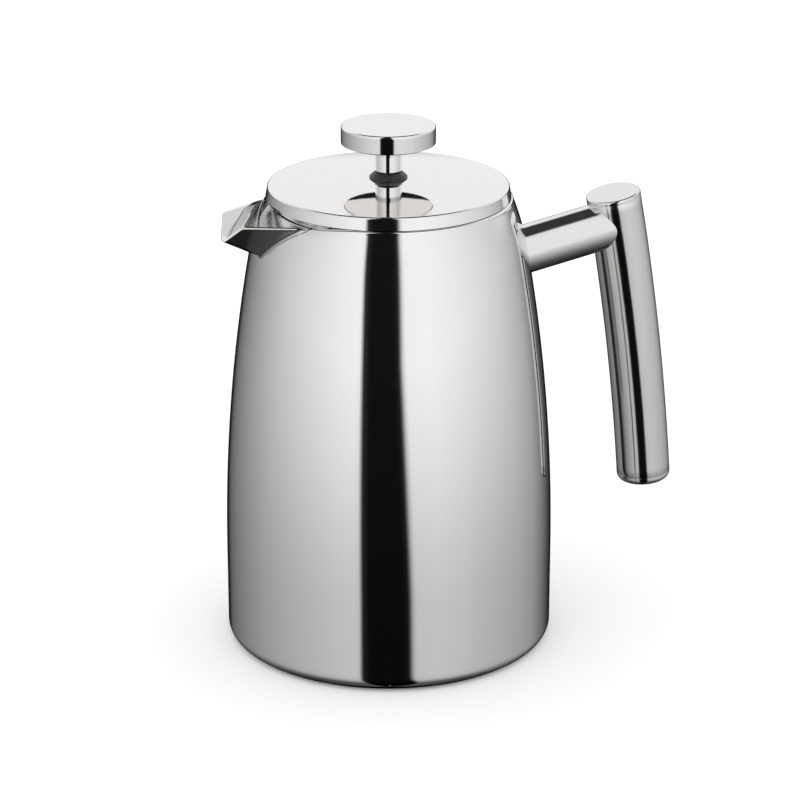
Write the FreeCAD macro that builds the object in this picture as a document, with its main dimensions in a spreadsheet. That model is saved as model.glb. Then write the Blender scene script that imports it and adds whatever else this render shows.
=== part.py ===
# Double-walled stainless french press: vessel with welded spout and handle, lift-off lid,
# and a plunger with its filter stack.  Millimetres, +Z up, origin at the centre of the base.
# The handle is on +X and the spout on -X.
import FreeCAD, Part
import math
import os
import re
import Sketcher

doc = FreeCAD.newDocument("french_press")

# ---------------------------------------------------------------- driving dimensions
dimensions = {
    # vessel outside
    "belly_radius": 60.0,
    "bow_start": 35.0,
    "bow_radius": 639.0,
    "shoulder_drop": 20.1,
    "shoulder_radius": 100.0,
    "rim_height": 167.1,
    "bead_depth": 3.7,
    "bead_round": 0.8,
    "shell_sheet": 0.8,
    "foot_round": 4.8,
    "foot_width": 3.2,
    # vessel inside
    "bore_radius": 41.0,
    "vessel_sheet": 0.7,
    "floor_height": 6.8,
    "floor_round": 6.0,
    # base plate
    "base_recess": 2.0,
    "base_sheet": 0.8,
    "base_step": 1.2,
    # spout, a folded channel
    "spout_reach": 63.6,
    "spout_lip_drop": 2.3,
    "spout_mouth_half": 8.2,
    "spout_mouth_drop": 9.1,
    "spout_mouth_round": 3.6,
    "spout_root": 30.0,
    "spout_root_half": 25.5,
    "spout_root_drop": 26.6,
    "spout_root_round": 2.4,
    "spout_sheet": 1.0,
    "spout_mouth_slant": 2.6,
    "spout_corner": 3.0,
    "rim_dip_half": 36.0,
    # handle
    "grip_radius": 10.1,
    "grip_wall": 1.2,
    "grip_bow": 950.0,
    "grip_top_reach": 90.2,
    "grip_top_drop": 10.6,
    "grip_top_lean": 11.4,
    "grip_length": 111.5,
    "grip_cap": 1.6,
    "grip_cap_round": 0.8,
    "grip_foot": 3.2,
    "grip_foot_round": 2.6,
    "strut_radius": 8.9,
    "strut_wall": 1.2,
    "strut_drop": 27.6,
    "strut_lean": 9.3,
    # lid
    "lid_gap": 0.1,
    "lid_radius": 43.9,
    "lid_band": 4.7,
    "lid_draft": 0.6,
    "lid_round": 1.0,
    "lid_dome": 2.2,
    "lid_sheet": 0.8,
    "liner_sheet": 0.7,
    "liner_clearance": 0.6,
    "liner_depth": 7.2,
    "liner_round": 2.0,
    # rod bush in the lid
    "bush_radius": 4.5,
    "bush_flange_radius": 6.8,
    "bush_flange": 2.1,
    "bush_flange_edge": 0.4,
    "bush_crown_radius": 5.1,
    "bush_nut_flats": 14.0,
    "bush_nut": 3.0,
    "bush_tail": 0.6,
    # plunger rod and knob
    "rod_radius": 2.5,
    "rod_clearance": 0.08,
    "rod_chamfer": 0.5,
    "rod_end_gap": 0.4,
    "knob_lift": 0.5,
    "neck_radius": 4.9,
    "neck_length": 10.0,
    "neck_spigot_radius": 3.5,
    "neck_spigot": 3.2,
    "knob_radius": 16.9,
    "knob_thickness": 6.7,
    "knob_sheet": 0.8,
    "knob_round": 0.9,
    "collar_flats": 11.0,
    "collar_height": 4.0,
    "collar_gap": 0.1,
    # filter stack
    "filter_clearance": 0.3,
    "filter_height": 14.3,
    "cross_sheet": 0.8,
    "cross_clearance": 3.0,
    "cross_window_radius": 7.2,
    "cross_window_circle": 20.5,
    "cross_hole_radius": 2.6,
    "cross_hole_circle": 32.8,
    "boss_radius": 4.0,
    "boss_flange_radius": 7.0,
    "boss_flange": 1.4,
    "boss_nose_radius": 5.0,
    "boss_nose": 1.8,
    "boss_floor": 1.0,
    "screen_sheet": 0.4,
    "screen_edge": 3.2,
    "spreader_sheet": 0.8,
    "spreader_edge": 2.8,
    "spreader_hole_radius": 2.2,
    "spreader_outer_circle": 29.5,
    "spreader_inner_circle": 17.0,
    "spring_radius": 1.6,
    "spring_gap": 0.1,
}

sizes = doc.addObject("Spreadsheet::Sheet", "sizes")
for row, (alias, value) in enumerate(dimensions.items(), start=1):
    sizes.set("A%d" % row, alias)
    sizes.set("B%d" % row, str(value))
    sizes.setAlias("B%d" % row, alias)
doc.recompute()

aliasWord = re.compile(r"[a-z]+(?:_[a-z]+)+")
nodes = []


def bound(formula):
    """Turn a formula in bare size names into one that reads the sheet."""
    return aliasWord.sub(lambda found: "sizes." + found.group(0), formula)


def number(formula):
    return float(sizes.evalExpression(bound(formula)))


def tie(thing, prop, formula):
    thing.setExpression(prop, bound(formula))


def node(thing, label):
    """Keep an object as one of the press's pieces, under its own name."""
    thing.Label = label
    nodes.append(thing)
    return thing


# ---------------------------------------------------------------- sketches
def newBody(name):
    return doc.addObject("PartDesign::Body", name)


def plane(body, role):
    return next(item for item in body.Origin.OriginFeatures if item.Role == role)


def newSketch(body, name, role, offset=None):
    sketch = body.newObject("Sketcher::SketchObject", name)
    sketch.AttachmentSupport = [(plane(body, role), "")]
    sketch.MapMode = "FlatFace"
    if offset:
        tie(sketch, "AttachmentOffset.Base.z", offset)
        doc.recompute()
    return sketch


def pin(sketch, geometry, position, across, up):
    """Hold one point of a sketch at a place given by two formulas."""
    for kind, axis, formula in (("DistanceX", -2, across), ("DistanceY", -1, up)):
        if formula == "0":
            sketch.addConstraint(Sketcher.Constraint("PointOnObject", geometry, position, axis))
            continue
        distance = Sketcher.Constraint(kind, -1, 1, geometry, position, number(formula))
        index = sketch.addConstraint(distance)
        tie(sketch, "Constraints[%d]" % index, formula)


def outline(sketch, corners):
    """Draw a closed outline.  A corner is (across, up) or (across, up, radius, side): with a
    radius, the edge that leaves it is an arc whose centre is on that side, +1 for the left."""
    places = [FreeCAD.Vector(number(c[0]), number(c[1]), 0) for c in corners]
    count = len(corners)
    ends = []
    for i, corner in enumerate(corners):
        start, end = places[i], places[(i + 1) % count]
        if len(corner) == 2:
            sketch.addGeometry(Part.LineSegment(start, end))
            ends.append((1, 2))
            continue
        radius, side = number(corner[2]), corner[3]
        chord = end - start
        left = FreeCAD.Vector(-chord.y, chord.x, 0).normalize()
        rise = math.sqrt(max(radius ** 2 - (chord.Length / 2) ** 2, 0.0))
        centre = (start + end) * 0.5 + left * rise * side
        first = math.atan2(start.y - centre.y, start.x - centre.x)
        last = math.atan2(end.y - centre.y, end.x - centre.x)
        circle = Part.Circle(centre, FreeCAD.Vector(0, 0, 1), radius)
        if side > 0:
            sketch.addGeometry(Part.ArcOfCircle(circle, first, last))
            ends.append((1, 2))
        else:
            sketch.addGeometry(Part.ArcOfCircle(circle, last, first))
            ends.append((2, 1))
    for i, corner in enumerate(corners):
        after = (i + 1) % count
        join = Sketcher.Constraint("Coincident", i, ends[i][1], after, ends[after][0])
        sketch.addConstraint(join)
        pin(sketch, i, ends[i][0], corner[0], corner[1])
        if len(corner) > 2:
            index = sketch.addConstraint(Sketcher.Constraint("Radius", i, number(corner[2])))
            tie(sketch, "Constraints[%d]" % index, corner[2])
    return sketch


def disc(sketch, across, up, radius):
    circle = Part.Circle(FreeCAD.Vector(number(across), number(up), 0),
                         FreeCAD.Vector(0, 0, 1), number(radius))
    index = sketch.addGeometry(circle)
    pin(sketch, index, 3, across, up)
    held = sketch.addConstraint(Sketcher.Constraint("Radius", index, number(radius)))
    tie(sketch, "Constraints[%d]" % held, radius)
    return index


def hexagon(sketch, flats):
    """Draw a hexagon about the sketch's origin, by its width across the flats."""
    corners = []
    for turn in range(0, 360, 60):
        reach = "(%s) / 2 / cos(30)" % flats
        corners.append((cosine(reach, turn), sine(reach, turn)))
    outline(sketch, corners)


def cosine(reach, turn):
    return "(%s) * cos(%d)" % (reach, turn)


def sine(reach, turn):
    return "0" if turn % 180 == 0 else "(%s) * sin(%d)" % (reach, turn)


# ---------------------------------------------------------------- features
def revolve(body, corners, name="profile"):
    sketch = outline(newSketch(body, body.Name + "_" + name, "XZ_Plane"), corners)
    turned = body.newObject("PartDesign::Revolution", body.Name + "_turned")
    turned.Profile = sketch
    turned.ReferenceAxis = (sketch, ["V_Axis"])
    turned.Angle = 360
    return turned


def pad(body, sketch, length, name="pad"):
    raised = body.newObject("PartDesign::Pad", body.Name + "_" + name)
    raised.Profile = sketch
    tie(raised, "Length", length)
    return raised


def pocketThrough(body, sketch, name):
    cut = body.newObject("PartDesign::Pocket", body.Name + "_" + name)
    cut.Profile = sketch
    cut.Type = "ThroughAll"
    cut.Midplane = True
    return cut


def ringOfHoles(body, height, circle, radius, count, name):
    """Cut one round hole on the +X side and repeat it about the vertical axis."""
    sketch = newSketch(body, body.Name + "_" + name, "XY_Plane", height)
    disc(sketch, circle, "0", radius)
    hole = pocketThrough(body, sketch, name + "_hole")
    doc.recompute()
    pattern = body.newObject("PartDesign::PolarPattern", body.Name + "_" + name + "_ring")
    pattern.Originals = [hole]
    pattern.Axis = (plane(body, "Z_Axis"), [""])
    pattern.Angle = 360
    pattern.Occurrences = count
    body.Tip = pattern
    doc.recompute()
    return pattern


def roundEdges(body, base, radius, wanted, name="rounded"):
    """Fillet the edges of the last feature for which wanted(edge) is true."""
    doc.recompute()
    chosen = ["Edge%d" % (i + 1) for i, edge in enumerate(base.Shape.Edges) if wanted(edge)]
    fillet = body.newObject("PartDesign::Fillet", body.Name + "_" + name)
    fillet.Base = (base, chosen)
    tie(fillet, "Radius", radius)
    return fillet


def circleAt(height, radius, slack=0.01):
    """A test for the round edges at one height and of one radius."""
    level, reach = number(height), number(radius)

    def wanted(edge):
        if not isinstance(edge.Curve, Part.Circle):
            return False
        centre = edge.Curve.Center
        return abs(centre.z - level) < slack and abs(edge.Curve.Radius - reach) < slack
    return wanted


def cut(label, base, tools):
    """Take the tools away from the base, one boolean for each."""
    result = base
    for i, tool in enumerate(tools):
        step = doc.addObject("Part::Cut", "%s_cut_%d" % (label, i))
        step.Base = result
        step.Tool = tool
        result = step
    return result


# ---------------------------------------------------------------- places shared by the pieces
beadFloor = "rim_height - bead_depth"
aboveRim = "rim_height + bead_depth"
lipHeight = "(rim_height - spout_lip_drop)"
mouthFloor = "(rim_height - spout_mouth_drop)"
rootFloor = "(rim_height - spout_root_drop)"
shoulderStart = "(rim_height - shoulder_drop)"
gripTop = "(rim_height - grip_top_drop)"
strutUp = "(rim_height - strut_drop)"
footInside = "belly_radius - foot_round - foot_width"
wallOutside = "bore_radius + vessel_sheet"

leanSine = "(((rim_height - shoulder_drop) - bow_start) / bow_radius)"
leanCosine = "sqrt(1 - %s^2)" % leanSine
bowEnd = "(belly_radius - bow_radius + bow_radius * %s)" % leanCosine
shoulderAcross = "(%s - shoulder_radius * %s)" % (bowEnd, leanCosine)
shoulderUp = "((rim_height - shoulder_drop) - shoulder_radius * %s)" % leanSine


def bowedRadius(height):
    """Radius of the outside wall below the shoulder."""
    return "(belly_radius - bow_radius + sqrt(bow_radius^2 - (%s - bow_start)^2))" % height


def shoulderRadius(height, inset="0"):
    """Radius of the outside wall above the shoulder, or of a wall set in from it."""
    return "(%s + sqrt((shoulder_radius - %s)^2 - (%s - %s)^2))" % (
        shoulderAcross, inset, height, shoulderUp)


def shoulderPoint(inset):
    return ("%s - %s * %s" % (bowEnd, inset, leanCosine),
            shoulderStart + " - %s * %s" % (inset, leanSine))


# ---------------------------------------------------------------- vessel
def outsideCorners(inset, sheetTop):
    """Corners of the outside wall from the foot up, set in by a sheet thickness."""
    bend = shoulderPoint(inset)
    return [
        ("belly_radius - foot_round", inset, "foot_round - %s" % inset, 1),
        ("belly_radius - %s" % inset, "foot_round"),
        ("belly_radius - %s" % inset, "bow_start", "bow_radius - %s" % inset, 1),
        (bend[0], bend[1], "shoulder_radius - %s" % inset, 1),
        (shoulderRadius(sheetTop, inset), sheetTop),
    ]


def turnedBack(corners):
    """The same corners in the other order, so that each arc still joins the same two."""
    back = []
    for i in range(len(corners) - 1, -1, -1):
        before = corners[i - 1] if i > 0 else ()
        arc = (before[2], -before[3]) if len(before) > 2 else ()
        back.append(corners[i][:2] + arc)
    return back


def shellEnvelope():
    """The space that the outer shell closes in, used to trim what is welded to it."""
    body = newBody("shell_envelope")
    revolve(body, [("0", "0")] + outsideCorners("0", beadFloor) + [("0", beadFloor)])
    return body


def sectionSide(half, floor, rounding, inset):
    """Formulas for one side of a channel section: where it leaves its rounded floor, and its
    half width at a height."""
    rise = "((rim_height - spout_lip_drop) - %s - %s)" % (floor, rounding)
    turn = "(atan(%s / %s) - acos(%s / sqrt(%s^2 + %s^2)))" % (rise, half, rounding, half, rise)
    radius = "(%s - %s)" % (rounding, inset)
    across = "%s * cos(%s)" % (radius, turn)
    up = "%s + %s + %s * sin(%s)" % (floor, rounding, radius, turn)
    top = "%s - (%s - (%s)) * tan(%s)" % (across, aboveRim, up, turn)
    return across, up, top, radius


def channelSection(body, name, place, half, floor, rounding, inset):
    across, up, top, radius = sectionSide(half, floor, rounding, inset)
    sketch = newSketch(body, body.Name + "_" + name, "YZ_Plane", "-" + place)
    return outline(sketch, [
        ("-(%s)" % across, up, radius, 1),
        (across, up),
        (top, aboveRim),
        ("-(%s)" % top, aboveRim),
    ])


def channelLoft(body, kind, inset, name):
    root = channelSection(body, name + "_root", "spout_root", "spout_root_half",
                          rootFloor, "spout_root_round", inset)
    mouth = channelSection(body, name + "_mouth", "spout_reach", "spout_mouth_half",
                           mouthFloor, "spout_mouth_round", inset)
    loft = body.newObject(kind, body.Name + "_" + name)
    loft.Profile = root
    loft.Sections = [mouth]
    loft.Ruled = True
    doc.recompute()
    return loft


def spoutBlank():
    body = newBody("spout_blank")
    channelLoft(body, "PartDesign::AdditiveLoft", "0", "outer")
    return body


def pouringSpout():
    """A folded sheet channel, let into the notch through both walls."""
    body = newBody("pouring_spout")
    channelLoft(body, "PartDesign::AdditiveLoft", "0", "outer")
    channelLoft(body, "PartDesign::SubtractiveLoft", "spout_sheet", "channel")
    trim = newSketch(body, "spout_trim", "XZ_Plane")
    lipEnd = "spout_reach - spout_mouth_slant"
    beyond = "-(spout_reach + spout_corner)"
    outline(trim, [
        ("0", lipHeight),
        ("-(%s - spout_corner)" % lipEnd, lipHeight, "spout_corner", 1),
        ("-(%s)" % lipEnd, lipHeight + " - spout_corner"),
        ("-spout_reach", mouthFloor + " - spout_sheet"),
        (beyond, mouthFloor + " - spout_sheet"),
        (beyond, aboveRim + " + spout_sheet"),
        ("0", aboveRim + " + spout_sheet"),
    ])
    pocketThrough(body, trim, "trimmed")
    bore = newSketch(body, "spout_bore", "XY_Plane")
    disc(bore, "0", "0", "bore_radius")
    pocketThrough(body, bore, "bored")
    return node(body, "pouring_spout")


def outerShell(blank):
    body = newBody("shell_blank")
    outside = outsideCorners("0", beadFloor)
    inside = turnedBack(outsideCorners("shell_sheet", beadFloor))
    revolve(body, [(footInside, "0")] + outside + inside + [(footInside, "shell_sheet")])
    return node(cut("outer_shell", body, [blank]), "outer_shell")


def rimDip():
    """A wide round cutter that lets the rim down towards the spout's lips."""
    dip = "spout_lip_drop"
    cutter = doc.addObject("Part::Cylinder", "rim_dip")
    radius = "(rim_dip_half^2 + %s^2) / (2 * %s)" % (dip, dip)
    cutter.Placement.Rotation = FreeCAD.Rotation(FreeCAD.Vector(0, 1, 0), -90)
    tie(cutter, "Radius", radius)
    tie(cutter, "Height", "belly_radius")
    tie(cutter, "Placement.Base.z", lipHeight + " + " + radius)
    return cutter


def innerVessel(blank):
    body = newBody("vessel_blank")
    rimSide = "rim_height - bead_round"
    rimOutside = shoulderRadius("(%s)" % rimSide)
    cornerTop = "floor_height + floor_round"
    revolve(body, [
        ("0", "floor_height - vessel_sheet"),
        ("bore_radius - floor_round", "floor_height - vessel_sheet",
         "floor_round + vessel_sheet", 1),
        (wallOutside, cornerTop),
        (wallOutside, beadFloor),
        (shoulderRadius("(%s)" % beadFloor), beadFloor, "shoulder_radius", 1),
        (rimOutside, rimSide, "bead_round", 1),
        (rimOutside + " - bead_round", "rim_height"),
        ("bore_radius + bead_round", "rim_height", "bead_round", 1),
        ("bore_radius", rimSide),
        ("bore_radius", cornerTop, "floor_round", -1),
        ("bore_radius - floor_round", "floor_height"),
        ("0", "floor_height"),
    ])
    return node(cut("inner_vessel", body, [blank, rimDip()]), "inner_vessel")


def basePlate():
    """The recessed plate that closes the shell from below."""
    body = newBody("base_plate")
    revolve(body, [
        ("0", "base_recess"),
        (footInside + " - 2 * base_step", "base_recess"),
        (footInside + " - base_step", "0"),
        (footInside, "0"),
        (footInside, "base_sheet"),
        (footInside + " - 0.6 * base_step", "base_sheet"),
        (footInside + " - 1.6 * base_step", "base_recess + base_sheet"),
        ("0", "base_recess + base_sheet"),
    ])
    return node(body, "base_plate")


# ---------------------------------------------------------------- handle
gripSweep = "(grip_length / grip_bow * 180 / pi)"
gripFootLean = "(grip_top_lean - %s)" % gripSweep
gripCentreAcross = "(grip_top_reach - grip_bow * cos(grip_top_lean))"
gripCentreUp = "((rim_height - grip_top_drop) - grip_bow * sin(grip_top_lean))"


def leanBody(body, across, up, lean):
    """Place a body in the handle's plane, leaning in towards the vessel."""
    body.Placement = FreeCAD.Placement(FreeCAD.Vector(number(across), 0, number(up)),
                                       FreeCAD.Rotation(FreeCAD.Vector(0, -1, 0), number(lean)))
    tie(body, "Placement.Base.x", across)
    tie(body, "Placement.Base.z", up)
    tie(body, "Placement.Rotation.Angle", lean)
    return body


def bowedTube(name, bore):
    """A tube along the grip's arc; without a bore it is a bar."""
    body = newBody(name)
    sketch = newSketch(body, name + "_section", "XY_Plane")
    disc(sketch, "grip_bow", "0", "grip_radius")
    if bore:
        disc(sketch, "grip_bow", "0", bore)
    swept = body.newObject("PartDesign::Revolution", name + "_swept")
    swept.Profile = sketch
    swept.ReferenceAxis = (sketch, ["V_Axis"])
    swept.Reversed = True
    tie(swept, "Angle", gripSweep)
    return leanBody(body, gripCentreAcross, gripCentreUp, gripFootLean)


def gripCap(label, across, up, lean, thickness, rounding, downward):
    body = newBody(label)
    sketch = newSketch(body, label + "_disc", "XY_Plane")
    disc(sketch, "0", "0", "grip_radius")
    raised = pad(body, sketch, thickness)
    raised.Reversed = downward
    end = "-" + thickness if downward else thickness
    roundEdges(body, raised, rounding, circleAt(end, "grip_radius"))
    return node(leanBody(body, across, up, lean), label)


def handle(envelope):
    bar = bowedTube("grip_bar", None)
    node(bowedTube("handle_grip", "grip_radius - grip_wall"), "handle_grip")
    gripCap("grip_top_cap", "grip_top_reach", gripTop, "grip_top_lean",
            "grip_cap", "grip_cap_round", False)
    footAcross = "%s + grip_bow * cos(%s)" % (gripCentreAcross, gripFootLean)
    footUp = "%s + grip_bow * sin(%s)" % (gripCentreUp, gripFootLean)
    gripCap("grip_foot_cap", footAcross, footUp, gripFootLean,
            "grip_foot", "grip_foot_round", True)
    strut = newBody("strut_blank")
    sketch = newSketch(strut, "strut_section", "YZ_Plane")
    disc(sketch, "0", "0", "strut_radius")
    disc(sketch, "0", "0", "strut_radius - strut_wall")
    start = bowedRadius(strutUp) + " - 2 * strut_wall"
    reach = "(grip_top_reach - (%s)) / cos(strut_lean) + 0.3 * grip_radius" % start
    pad(strut, sketch, reach)
    leanBody(strut, start, strutUp, "strut_lean")
    node(cut("handle_strut", strut, [envelope, bar]), "handle_strut")


# ---------------------------------------------------------------- lid
lidSeat = "(rim_height + lid_gap)"
lidEdge = "(lid_radius - lid_draft - lid_round)"
domeRadius = "((%s^2 + lid_dome^2) / (2 * lid_dome))" % lidEdge
domeTop = "(%s + lid_band + lid_dome)" % lidSeat
linerRadius = "(bore_radius - liner_clearance)"
linerFloor = "(%s - liner_depth)" % lidSeat
bushTop = "(%s + bush_flange)" % domeTop


def domeHeight(radius, inset):
    return "%s - %s + sqrt((%s - %s)^2 - %s^2)" % (domeTop, domeRadius, domeRadius, inset, radius)


def lidCover():
    body = newBody("lid_cover")
    bandTop = lidSeat + " + lid_band"
    revolve(body, [
        ("lid_radius", lidSeat),
        ("lid_radius - lid_draft", bandTop + " - lid_round", "lid_round", 1),
        (lidEdge, bandTop, domeRadius, 1),
        ("bush_radius", domeHeight("bush_radius", "0")),
        ("bush_radius", domeHeight("bush_radius", "lid_sheet"), domeRadius + " - lid_sheet", -1),
        (lidEdge, domeHeight(lidEdge, "lid_sheet")),
        ("lid_radius - lid_draft - lid_sheet", bandTop + " - lid_round"),
        ("lid_radius - lid_sheet", lidSeat),
    ])
    return node(body, "lid_cover")


def lidLiner():
    """The dish that closes the lid from below and centres it in the vessel's mouth."""
    body = newBody("lid_liner")
    flange = "lid_radius - lid_sheet - 0.5 * lid_draft"
    revolve(body, [
        ("bush_radius", linerFloor),
        (linerRadius + " - liner_round", linerFloor, "liner_round", 1),
        (linerRadius, linerFloor + " + liner_round"),
        (linerRadius, lidSeat),
        (flange, lidSeat),
        (flange, lidSeat + " + liner_sheet"),
        (linerRadius + " - liner_sheet", lidSeat + " + liner_sheet"),
        (linerRadius + " - liner_sheet", linerFloor + " + liner_round",
         "liner_round - liner_sheet", -1),
        (linerRadius + " - liner_round", linerFloor + " + liner_sheet"),
        ("bush_radius", linerFloor + " + liner_sheet"),
    ])
    return node(body, "lid_liner")


def rodBush():
    body = newBody("rod_bush")
    bore = "rod_radius + rod_clearance"
    tail = linerFloor + " - bush_nut - bush_tail"
    revolve(body, [
        (bore, tail),
        ("bush_radius", tail),
        ("bush_radius", domeTop),
        ("bush_flange_radius", domeTop),
        ("bush_flange_radius", domeTop + " + bush_flange_edge"),
        ("bush_crown_radius", bushTop),
        (bore, bushTop),
    ])
    return node(body, "rod_bush")


def hexNut(label, flats, bore, base, thickness):
    body = newBody(label)
    sketch = newSketch(body, label + "_section", "XY_Plane", base)
    hexagon(sketch, flats)
    disc(sketch, "0", "0", bore)
    pad(body, sketch, thickness)
    return node(body, label)


# ---------------------------------------------------------------- plunger
neckFloor = "(%s + knob_lift)" % bushTop
knobFloor = "(%s + neck_length)" % neckFloor
knobTop = "(%s + knob_thickness)" % knobFloor
crossFloor = "(filter_height - cross_sheet)"
bossFlangeFloor = "(%s - boss_flange)" % crossFloor
noseFloor = "(%s - boss_nose)" % bossFlangeFloor
spreaderFloor = "(filter_height + screen_sheet)"
spreaderTop = "(%s + spreader_sheet)" % spreaderFloor
screenRadius = "(bore_radius - filter_clearance)"
springCircle = "(%s - screen_sheet - spring_gap - spring_radius)" % screenRadius


def plungerRod():
    body = newBody("plunger_rod")
    low = noseFloor + " + boss_floor + rod_end_gap"
    revolve(body, [
        ("0", low),
        ("rod_radius - rod_chamfer", low),
        ("rod_radius", low + " + rod_chamfer"),
        ("rod_radius", knobFloor),
        ("0", knobFloor),
    ])
    return node(body, "plunger_rod")


def knobNeck():
    body = newBody("knob_neck")
    revolve(body, [
        ("rod_radius", neckFloor),
        ("neck_radius", neckFloor),
        ("neck_radius", knobFloor),
        ("neck_spigot_radius", knobFloor),
        ("neck_spigot_radius", knobFloor + " + neck_spigot"),
        ("0", knobFloor + " + neck_spigot"),
        ("0", knobFloor),
        ("rod_radius", knobFloor),
    ])
    return node(body, "knob_neck")


def knobPlate():
    body = newBody("knob_plate")
    sketch = newSketch(body, "knob_plate_section", "XY_Plane", knobFloor)
    disc(sketch, "0", "0", "knob_radius - knob_sheet")
    disc(sketch, "0", "0", "neck_spigot_radius")
    pad(body, sketch, "knob_sheet")
    return node(body, "knob_plate")


def knobCap():
    body = newBody("knob_cap")
    revolve(body, [
        ("knob_radius - knob_sheet", knobFloor),
        ("knob_radius", knobFloor),
        ("knob_radius", knobTop + " - knob_round", "knob_round", 1),
        ("knob_radius - knob_round", knobTop),
        ("0", knobTop),
        ("0", knobTop + " - knob_sheet"),
        ("knob_radius - knob_sheet", knobTop + " - knob_sheet"),
    ])
    return node(body, "knob_cap")


def crossPlate():
    body = newBody("cross_plate")
    sketch = newSketch(body, "cross_plate_section", "XY_Plane", crossFloor)
    disc(sketch, "0", "0", "(bore_radius - cross_clearance)")
    disc(sketch, "0", "0", "boss_radius")
    pad(body, sketch, "cross_sheet")
    ringOfHoles(body, crossFloor, "cross_window_circle", "cross_window_radius", 6, "window")
    ringOfHoles(body, crossFloor, "cross_hole_circle", "cross_hole_radius", 24, "drain")
    return node(body, "cross_plate")


def crossBoss():
    """The threaded boss that the rod screws into, welded in the cross plate."""
    body = newBody("cross_boss")
    bore = "rod_radius + rod_clearance"
    revolve(body, [
        ("0", noseFloor),
        ("boss_nose_radius", noseFloor),
        ("boss_flange_radius", bossFlangeFloor),
        ("boss_flange_radius", crossFloor),
        ("boss_radius", crossFloor),
        ("boss_radius", spreaderTop),
        (bore, spreaderTop),
        (bore, noseFloor + " + boss_floor"),
        ("0", noseFloor + " + boss_floor"),
    ])
    return node(body, "cross_boss")


def dish(label, radius, floor, sheet, edge):
    """A flat disc on the boss with a low upright edge."""
    body = newBody(label)
    revolve(body, [
        ("boss_radius", floor),
        (radius, floor),
        (radius, floor + " + " + edge),
        (radius + " - " + sheet, floor + " + " + edge),
        (radius + " - " + sheet, floor + " + " + sheet),
        ("boss_radius", floor + " + " + sheet),
    ])
    return body


def filterStack():
    crossPlate()
    crossBoss()
    node(dish("mesh_screen", screenRadius, "filter_height", "screen_sheet", "screen_edge"),
         "mesh_screen")
    spreaderRadius = springCircle + " - spring_radius - filter_clearance"
    spreader = dish("spreader_plate", spreaderRadius, spreaderFloor, "spreader_sheet",
                    "spreader_edge")
    ringOfHoles(spreader, spreaderFloor, "spreader_outer_circle", "spreader_hole_radius", 20,
                "outer")
    ringOfHoles(spreader, spreaderFloor, "spreader_inner_circle", "spreader_hole_radius", 10,
                "inner")
    node(spreader, "spreader_plate")
    spring = doc.addObject("Part::Torus", "edge_spring")
    tie(spring, "Radius1", springCircle)
    tie(spring, "Radius2", "spring_radius")
    tie(spring, "Placement.Base.z", spreaderFloor + " + spring_gap + spring_radius")
    node(spring, "edge_spring")


# ---------------------------------------------------------------- build, check, write
blank = spoutBlank()
outerShell(blank)
innerVessel(blank)
basePlate()
pouringSpout()
handle(shellEnvelope())
lidCover()
lidLiner()
rodBush()
hexNut("bush_nut", "bush_nut_flats", "bush_radius", linerFloor + " - bush_nut", "bush_nut")
knobCap()
knobPlate()
knobNeck()
plungerRod()
hexNut("rod_collar", "collar_flats", "rod_radius", spreaderTop + " + collar_gap", "collar_height")
filterStack()
doc.recompute()

for item in doc.Objects:
    if "Invalid" in item.State or "Error" in item.State:
        raise RuntimeError("%s did not build: %s" % (item.Name, item.State))
for piece in nodes:
    if piece.Shape.isNull() or not piece.Shape.isValid():
        raise RuntimeError("%s has no valid shape" % piece.Label)

os.makedirs("parts", exist_ok=True)
for piece in nodes:
    piece.Shape.exportStep("parts/%s.step" % piece.Label)
    box = piece.Shape.BoundBox
    print("%-15s solids %d  volume %9.1f  x %7.2f %7.2f  z %7.2f %7.2f" % (
        piece.Label, len(piece.Shape.Solids), piece.Shape.Volume,
        box.XMin, box.XMax, box.ZMin, box.ZMax))
print("%d pieces" % len(nodes))
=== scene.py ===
import math

import bmesh
import bpy
from mathutils import Matrix, Vector


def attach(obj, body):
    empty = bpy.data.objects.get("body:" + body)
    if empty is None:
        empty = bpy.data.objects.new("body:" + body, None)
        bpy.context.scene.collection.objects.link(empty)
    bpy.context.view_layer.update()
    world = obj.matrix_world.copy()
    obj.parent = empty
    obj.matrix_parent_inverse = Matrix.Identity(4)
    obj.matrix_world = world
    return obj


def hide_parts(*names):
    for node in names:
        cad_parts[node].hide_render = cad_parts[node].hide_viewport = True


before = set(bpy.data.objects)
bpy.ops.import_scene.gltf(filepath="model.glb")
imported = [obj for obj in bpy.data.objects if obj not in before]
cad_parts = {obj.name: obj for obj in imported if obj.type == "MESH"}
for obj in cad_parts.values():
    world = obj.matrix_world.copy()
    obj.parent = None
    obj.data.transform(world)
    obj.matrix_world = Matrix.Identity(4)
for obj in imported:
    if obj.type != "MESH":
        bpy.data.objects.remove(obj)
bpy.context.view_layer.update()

scene = bpy.context.scene
scene.view_settings.view_transform = "Standard"
metresPerMm = 0.001
print("frame loaded,", len(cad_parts), "nodes")

# camera: looks down on the press from the spout's side of the front
camera = {"place": (-0.4097, -0.9653, 0.4763), "aim": (0.0038, -0.0016, 0.0895), "lens": 137.6,
          "sensor": 36.0, "clip": (0.05, 60.0)}


def makeCamera(sizes):
    data = bpy.data.cameras.new("viewCamera")
    data.lens = sizes["lens"]
    data.sensor_width = sizes["sensor"]
    data.clip_start, data.clip_end = sizes["clip"]
    thing = bpy.data.objects.new("viewCamera", data)
    thing.location = sizes["place"]
    look = Vector(sizes["aim"]) - Vector(sizes["place"])
    thing.rotation_euler = look.to_track_quat("-Z", "Y").to_euler()
    scene.collection.objects.link(thing)
    scene.camera = thing


makeCamera(camera)


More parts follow.
